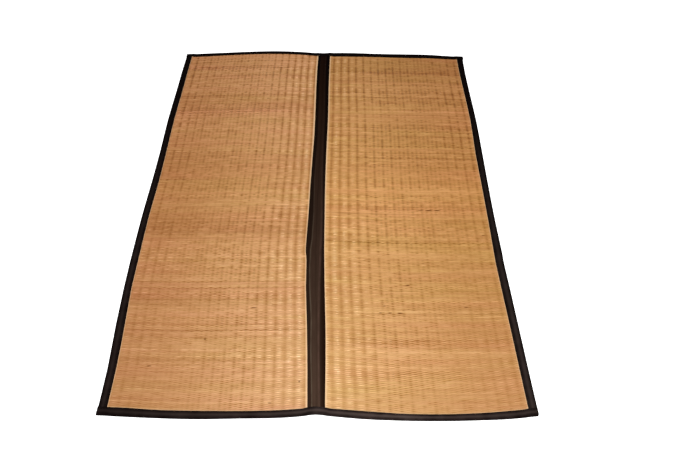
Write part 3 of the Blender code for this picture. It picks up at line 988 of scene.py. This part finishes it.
def folded_tape(plan, fold_share, seed, wider):
    """Rows of a folded tape, each from its lower cut edge round the fold to its upper one."""
    parts, felt, run = stations_along(plan, TAPE_STATION)
    cut_share = 1.0 - fold_share
    fold = np.stack(plan.place(fold_share, parts), axis=1)
    cut = np.stack(plan.place(cut_share, parts), axis=1)

    def feel(feeler, share):
        return feel_line(feeler, plan.node, plan.place(fold_share + (cut_share - fold_share) * share, felt))

    foot, top = feel(foot_at, FOOT_SHARE), feel(top_at, TOP_SHARE)
    crown = np.maximum(feel(top_at, CROWN_SHARE) - top, 0.0)
    radius = (top - foot) / 2
    width = np.linalg.norm(cut - fold, axis=1)
    way = (cut - fold) / width[:, None]
    rng = np.random.default_rng(seed)
    wave = wander(rng, run, RUFFLE_RUN, RUFFLE)
    puff = 1.0 + wander(rng, run, PUFFED_RUN, PUFFED)

    columns = []
    for share in LOWER_SHARES:
        columns.append((width + (radius - width) * share, foot, FOLD_TURN * share))
    for share in np.arange(1, BEND_POINTS) / BEND_POINTS:
        inward = radius - radius * math.sin(math.pi * share)
        height = foot + radius - radius * math.cos(math.pi * share)
        columns.append((inward, height, FOLD_TURN + (UPPER_TURN - FOLD_TURN) * share))
    for share in UPPER_SHARES:
        inward = radius + (width + wider - radius) * share
        arch = math.sin(math.pi * min(share * 0.9 + 0.1, 1.0)) ** CROWN_POWER
        lift = crown * puff * arch + wave * math.sin(math.pi * min(share + 0.1, 1.0))
        columns.append((inward, top + lift, UPPER_TURN + (1 - UPPER_TURN) * share))
    inward, height = (np.stack(values, axis=1) for values in list(zip(*columns))[:2])
    turn = np.broadcast_to([turn for _, _, turn in columns], inward.shape)

    plan_places = fold[:, None, :] + way[:, None, :] * inward[:, :, None]
    forth = np.gradient(fold, axis=0)
    forth = forth / np.linalg.norm(forth, axis=1)[:, None]
    ends = zip((1, -1), (run, plan.length() - run), TRIMS.get(plan.node, UNTRIMMED))
    for sign, from_end, trim in ends:
        cut_off = np.interp(inward / width[:, None], (0.0, 1.0), trim)
        cut_off = cut_off * np.clip(1 - from_end / TRIM_REACH, 0, 1)[:, None]
        plan_places = plan_places + sign * forth[:, None, :] * cut_off[:, :, None]
    places = np.concatenate([plan_places, height[:, :, None]], axis=2)
    wear = chart_at(parts, WEAR_AND_SHEEN[plan.node])
    values = {"turn": turn}
    for key, value in (("run", run), ("wear", wear)):
        values[key] = np.broadcast_to(value[:, None], turn.shape)
    return places, values


# %% [markdown]
# ## The cloth finish
#
# The tapes are black cotton. The crown of the near ones is painted paler, a painted sheen where the
# rounded fold meets the light, and they are rubbed grey in patches, while the far one is still black. A
# short chart along each tape says how strong both are, its crown and a slow noise say where, and a
# shallow bump stands for the cloth's own weave.

# %% Tape material
TAPE_BLACK = (0.0022, 0.0006, 0.0004, 1.0)
TAPE_WORN_AND_SHEEN = (0.0850, 0.0600, 0.0530, 1.0)


def tape_look(name):
    """Black cotton, with a painted sheen on its crown and rubbed grey in patches, by a chart along each tape.
    """
    look, _ = new_material(name, 0.62, CLOTH_GLOSS)
    make = Recipe(look)
    run, turn = make.value("run"), make.value("turn")
    patches = make.noise((30.0, 30.0, 30.0), 3.0)
    # Painted sheen: the crown is painted paler where the rounded fold meets the light; the noise adds grey
    # patches.
    crown = make.spread(make.from_value(turn, 0.76), 0.02, 0.14, 1.0, 0.0)
    worn_and_sheen = make.times_plus(crown, 0.62, make.spread(patches, 0.30, 0.75, 0.10, 0.48))
    make.feed("Base Color", make.mix(make.times(worn_and_sheen, make.value("wear")), TAPE_BLACK, TAPE_WORN_AND_SHEEN))
    make.feed("Normal", make.threads(run, 9000.0, turn, 420.0))
    return look


tape_cloth = tape_look("black cotton tape")

# %% Fold the four tapes
FOLDS = {"side_tape_left": 0.0, "side_tape_right": 1.0, "end_tape_near": 0.0, "end_tape_far": 1.0}
WIDER = {"side_tape_left": 0.0026, "side_tape_right": 0.0024, "end_tape_near": 0.0016, "end_tape_far": 0.0062}
TURNED = ("side_tape_right", "end_tape_near")
FIRST_SEED = 40
cloths = {}
for seed, (node, fold_share) in enumerate(FOLDS.items()):
    rows = folded_tape(plans[node], fold_share, FIRST_SEED + seed, WIDER[node])
    piece = ribbon(node + "_cloth", rows, turned=node in TURNED)
    piece.data.materials.append(tape_cloth)
    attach(piece, "root")
    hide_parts(node)
    cloths[node] = piece
    print(piece.name, len(piece.data.polygons), "faces")

# %% [markdown]
# ## The hinge strip
#
# The mat folds in half on a strip of cloth between the panels. Two leaves grip the panels' inner
# edges, above and below, and are sewn together down the middle. The upper leaf stands in a low hump:
# a soft ridge over each panel's edge, a flat brown band between the ridges, and a crease along the
# seam. The band's two rims are painted pale, a painted highlight where they catch the light, the crease
# is painted dark, a painted shade, and the right flank is painted lighter towards the band, a painted
# shading of its slope. It is made as three ribbons in one piece: upper leaf, lower leaf and the seam
# between them. The upper leaf, too, is a little wider than the solid's. The strip is painted brown at the
# near end and nearly black at the far end, so its finish follows the run of the strip.

# %% Fold the strip
STRIP_PROFILE = (
    (0.000, 0.00),
    (0.015, 0.03),
    (0.055, 0.24),
    (0.140, 0.84),
    (0.185, 1.00),
    (0.230, 0.92),
    (0.300, 0.87),
    (0.430, 0.80),
    (0.470, 0.62),
    (0.500, 0.53),
)
STRIP_STATION = 0.004
STRIP_COLUMNS = 56
LOWER_COLUMNS = 8
STRIP_FOOT, STRIP_EDGE, STRIP_CREST = 0.3, 0.004, 0.196
STRIP_SEED = 7
RIDGE_RUN, RIDGE_SWAY = 0.030, 0.035
BAND_RUN = (0.04, 0.21, 0.33, 0.55, 0.67, 0.80, 0.98, 1.21, 1.80)
BAND_LEFT = (0.19, 0.14, 0.19, 0.13, 0.27, 0.28, 0.21, 0.25, 0.20)
BAND_RIGHT = (0.73, 0.68, 0.71, 0.82, 0.89, 0.89, 0.83, 0.77, 0.72)
BAND_STEP, BAND_SLOPE = 0.00025, 0.018
OFF_BAND = -0.2
SPREAD_LEFT = ((0.0, 0.0016), (1.13, 0.0016), (1.24, 0.0002), (1.82, -0.0004))
SPREAD_RIGHT = 0.0018
WRINKLES = ((0.0065, 0.00012), (0.017, 0.00010))
CREASED = ((0.34, 0.07, 1.2), (1.06, 0.05, 0.5))
LEAST_CREASED = 0.45
CREASED_FROM, CREASED_FADE = 0.19, 0.06
FULL_HUMP = 0.002
WEB_SINK = 0.6


def eased(at, knots):
    """Read a chart of knots at places, with soft bends at every knot."""
    xs, zs = (np.array(values) for values in zip(*knots))
    k = np.clip(np.searchsorted(xs, at, side="right") - 1, 0, len(xs) - 2)
    t = np.clip((at - xs[k]) / (xs[k + 1] - xs[k]), 0.0, 1.0)
    slopes = np.gradient(zs, xs)
    span = xs[k + 1] - xs[k]
    return (
        zs[k] * (1 + 2 * t) * (1 - t) ** 2
        + zs[k + 1] * t * t * (3 - 2 * t)
        + slopes[k] * span * t * (1 - t) ** 2
        - slopes[k + 1] * span * t * t * (1 - t)
    )


def strip_values(turn, run, left_in=OFF_BAND, right_in=OFF_BAND):
    """The numbers that the strip's finish reads: across, along, and how far inside the brown band."""
    run = run[:, None]
    shape = np.broadcast_shapes(np.shape(turn), run.shape)
    values = {"turn": turn, "run": run, "left_in": left_in, "right_in": right_in}
    return {key: np.broadcast_to(value, shape) for key, value in values.items()}


def strip_rows(plan):
    """Rows of the strip's upper leaf, lower leaf and seam."""
    parts, felt, run = stations_along(plan, STRIP_STATION)
    rng = np.random.default_rng(STRIP_SEED)

    def feel(feeler, share):
        return feel_line(feeler, plan.node, plan.place(share, felt))

    foot, low = feel(foot_at, STRIP_FOOT), (feel(top_at, STRIP_EDGE) + feel(top_at, 1 - STRIP_EDGE)) / 2
    hump = feel(top_at, STRIP_CREST) - low
    shares = np.linspace(0.0, 1.0, STRIP_COLUMNS + 1)
    mirrored = np.minimum(shares, 1 - shares)
    left, right = (1.0 + wander(rng, run, RIDGE_RUN, RIDGE_SWAY)[:, None] for _ in range(2))
    across, along = plan.place(shares[None, :], parts[:, None])
    spill = chart_at(run, SPREAD_LEFT)[:, None]
    across = across + (SPREAD_RIGHT + spill) * shares - spill
    band_left, band_right = (np.interp(run, BAND_RUN, chart) for chart in (BAND_LEFT, BAND_RIGHT))
    left_in, right_in = shares - band_left[:, None], band_right[:, None] - shares
    wrinkle = sum(wander(rng, run, spacing, amount) for spacing, amount in WRINKLES)
    creased = sum(much * np.exp(-(((run - at) / reach) ** 2)) for at, reach, much in CREASED)
    wrinkle = wrinkle * (LEAST_CREASED + creased) * np.clip(hump / FULL_HUMP, 0, 1)
    sway = np.where(shares < 0.5, left, right)
    height = low[:, None] + hump[:, None] * eased(mirrored, STRIP_PROFILE) * sway
    height = height + wrinkle[:, None] * np.clip((mirrored - CREASED_FROM) / CREASED_FADE, 0.0, 1.0)
    height = height + BAND_STEP * np.clip(np.minimum(left_in, right_in) / BAND_SLOPE, 0.0, 1.0)
    upper = np.stack([across, along, height], axis=2)

    flat_shares = np.linspace(1.0, 0.0, LOWER_COLUMNS + 1)
    across, along = plan.place(flat_shares[None, :], parts[:, None])
    lower = np.stack([across, along, np.broadcast_to(foot[:, None], across.shape)], axis=2)

    sink = LEAF * WEB_SINK
    heights = np.linspace(foot + sink, height[:, STRIP_COLUMNS // 2] - sink, 3, axis=1)
    middle = (np.broadcast_to(v[:, None], heights.shape) for v in plan.place(0.5, parts))
    web = np.stack([*middle, heights], axis=2)
    return (
        (upper, strip_values(shares, run, left_in, right_in)),
        (lower, strip_values(flat_shares, run)),
        (web, strip_values(np.full(3, 0.5), run)),
    )


FLANK_NEAR, FLANK_FAR = (0.0130, 0.0050, 0.0018, 1.0), (0.0018, 0.0003, 0.0001, 1.0)
BAND_NEAR, BAND_FAR = (0.0710, 0.0410, 0.0275, 1.0), (0.0090, 0.0026, 0.0009, 1.0)
# Colours of the painted highlights on the band's rims.
LEFT_RIM_HIGHLIGHT, RIGHT_RIM_HIGHLIGHT = (0.1020, 0.0740, 0.0500, 1.0), (0.0950, 0.0500, 0.0370, 1.0)


def strip_look():
    """Dark flanks and a brown band, both paler near the camera's end, with painted highlights on the rims and
    painted shade in the crease.
    """
    look, _ = new_material("brown hinge cloth", 0.66, CLOTH_GLOSS)
    make = Recipe(look)
    turn, run, left_in, right_in = (make.value(name) for name in ("turn", "run", "left_in", "right_in"))
    nearness = make.math("POWER", make.spread(run, 0.0, 1.82, 1.0, 0.0), 1.5)
    patches = make.noise((60.0, 14.0, 20.0), 3.0)
    threads = make.noise((900.0, 6.0, 1.0), 1.0)
    wavy = make.noise((20.0, 22.0, 1.0))
    flank = make.mix(nearness, FLANK_FAR, FLANK_NEAR)
    beside = make.mix(nearness, FLANK_FAR, BAND_NEAR)
    # Painted shading: the right flank is painted lighter towards the band.
    flank = make.mix(make.spread(right_in, OFF_BAND, 0.0, 0.05, 0.30), flank, beside)
    middle = make.mix(make.times(nearness, make.spread(patches, 0.3, 0.7, 0.86, 1.08)), BAND_FAR, BAND_NEAR)
    middle = make.mix(make.spread(threads, 0.35, 0.65, 0.0, 0.30), middle, FLANK_NEAR)
    # Painted highlight on the band's left rim.
    rim = make.times(
        make.spread(left_in, 0.015, 0.035),
        make.spread(left_in, 0.060, 0.110, 1.0, 0.0),
        make.spread(run, 0.30, 1.10, 0.90, 0.0),
        make.spread(wavy, 0.3, 0.6, 0.4, 1.0),
    )
    middle = make.mix(rim, middle, LEFT_RIM_HIGHLIGHT)
    # Painted highlight on the band's right rim.
    rim = make.times(
        make.spread(right_in, 0.015, 0.045),
        make.spread(right_in, 0.090, 0.150, 1.0, 0.0),
        make.spread(run, 0.10, 1.25, 0.80, 0.0),
        make.spread(wavy, 0.35, 0.6, 1.0, 0.4),
    )
    middle = make.mix(rim, middle, RIGHT_RIM_HIGHLIGHT)
    # Painted shade: the crease along the seam is painted dark.
    crease = make.spread(make.from_value(turn, 0.53), 0.0, 0.05, 0.40, 0.0)
    middle = make.mix(crease, middle, flank)
    band = make.times(make.spread(left_in, -0.01, 0.03), make.spread(right_in, -0.03, 0.03))
    make.feed("Base Color", make.mix(band, flank, middle))
    make.feed("Normal", make.threads(run, 8000.0, turn, 400.0))
    return look


def join(name, pieces):
    """Make one piece of several, which then go."""
    bm = bmesh.new()
    for piece in pieces:
        bm.from_mesh(piece.data)
        spent = piece.data
        bpy.data.objects.remove(piece)
        bpy.data.meshes.remove(spent)
    return set_down(name, finished(bm, name))


leaves = zip(("upper_leaf", "lower_leaf", "seam_web"), strip_rows(plans["centre_strip"]))
strip = join("centre_strip_cloth", [ribbon(name, rows) for name, rows in leaves])
strip.data.materials.append(strip_look())
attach(strip, "root")
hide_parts("centre_strip")
print(strip.name, len(strip.data.polygons), "faces")

# %% [markdown]
# ## Stitches
#
# The tapes are sewn through tape, hem and tape a little inside their inner edges, and the strip is sewn
# along both its edges and along the brown band's. A lock stitch shows the same short thread on both
# faces. Each one is a slim bead pressed half into the cloth, felt out on the finished cloth itself, and
# all the beads of a seam are one mesh.

# %% Sew the seams
STITCH_PITCH = 0.0047
STITCH_LENGTH = 0.0034
STITCH_RADIUS = 0.00032
STITCH_GRIP = 0.4
SEAM_INSET = 0.0025
BAND_INSET = 0.035
SEAM_PARTS = np.linspace(0.004, 0.996, 240)
THREAD = (0.0150, 0.0095, 0.0085, 1.0)


def felt_line(tree, places, face):
    """Points on one face of a cloth above or under places of the plan, or None where it has none."""
    way = DOWN if face > 0 else UP
    return [tree.ray_cast(Vector((across, along, SKY * face)), way)[0] for across, along in places]


def one_bead():
    """A slim bead of thread, lying along X."""
    bm = bmesh.new()
    turned = Matrix.Rotation(math.pi / 2, 4, "Y")
    bmesh.ops.create_uvsphere(bm, u_segments=5, v_segments=3, radius=1.0, matrix=turned)
    bmesh.ops.scale(bm, verts=bm.verts[:], vec=(STITCH_LENGTH / 2, STITCH_RADIUS, STITCH_RADIUS))
    return finished(bm, "bead")


def sew(name, piece, line, faces=(1, -1)):
    """Beads of thread along a line of plan places, on the upper or both faces of a cloth."""
    tree = BVHTree.FromObject(piece, bpy.context.evaluated_depsgraph_get())
    line = np.stack(line, axis=1)
    steps = np.concatenate([[0.0], np.cumsum(np.linalg.norm(np.diff(line, axis=0), axis=1))])
    centres = np.arange(STITCH_PITCH, steps[-1] - STITCH_PITCH / 2, STITCH_PITCH)
    ends = [
        np.stack([np.interp(centres + shift, steps, line[:, k]) for k in (0, 1)], axis=1)
        for shift in (-STITCH_LENGTH * STITCH_GRIP, STITCH_LENGTH * STITCH_GRIP)
    ]
    bead = one_bead()
    bm = bmesh.new()
    sewn = 0
    for face in faces:
        for start, end in zip(*(felt_line(tree, places, face) for places in ends)):
            if start is None or end is None or (end - start).length > 2 * STITCH_LENGTH:
                continue
            way = (end - start).to_track_quat("X", "Z").to_matrix().to_4x4()
            stitch = bead.copy()
            stitch.transform(Matrix.Translation((start + end) / 2) @ way)
            bm.from_mesh(stitch)
            bpy.data.meshes.remove(stitch)
            sewn += 1
    bpy.data.meshes.remove(bead)
    mesh = finished(bm, name)
    mesh.shade_smooth()
    print(name, sewn, "stitches")
    return set_down(name, mesh)


thread_look, thread_shader = new_material("sewing thread", 0.45, 0.15)
thread_shader.inputs["Base Color"].default_value = THREAD
seams = {}
for node, fold_share in FOLDS.items():
    inset = SEAM_INSET / plans[node].width()
    line = plans[node].place(abs(1.0 - fold_share - inset), SEAM_PARTS)
    seams[node] = sew(node + "_stitches", cloths[node], line)

plan = plans["centre_strip"]
run, inset = SEAM_PARTS * plan.length(), SEAM_INSET / plan.width()
rows = [
    (inset, (1, -1)),
    (1 - inset, (1, -1)),
    (np.interp(run, BAND_RUN, BAND_LEFT) + BAND_INSET, (1,)),
    (np.interp(run, BAND_RUN, BAND_RIGHT) - BAND_INSET, (1,)),
]
lines = [sew("seam", strip, plan.place(share, SEAM_PARTS), faces) for share, faces in rows]
seams["centre_strip"] = join("centre_strip_stitches", lines)
for thread in seams.values():
    thread.data.materials.append(thread_look)
    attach(thread, "root")

# %% [markdown]
# ## Cut sizes
#
# Every piece is a sheet that was cut flat and now simply lies. The panels were woven to their size, the
# tapes were cut at twice their folded width, and the strip counts both its leaves.

# %% Flat sizes of the sheets
for node, (width, length) in {
    "panel_left": (0.586, 1.82),
    "panel_right": (0.597, 1.82),
    "side_tape_left": (0.054, 1.82),
    "side_tape_right": (0.054, 1.82),
    "end_tape_near": (0.052, 1.226),
    "end_tape_far": (0.052, 1.226),
    "centre_strip": (0.100, 1.82),
}.items():
    if node in weaves:
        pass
    else:
        piece = strip if node == "centre_strip" else cloths[node]
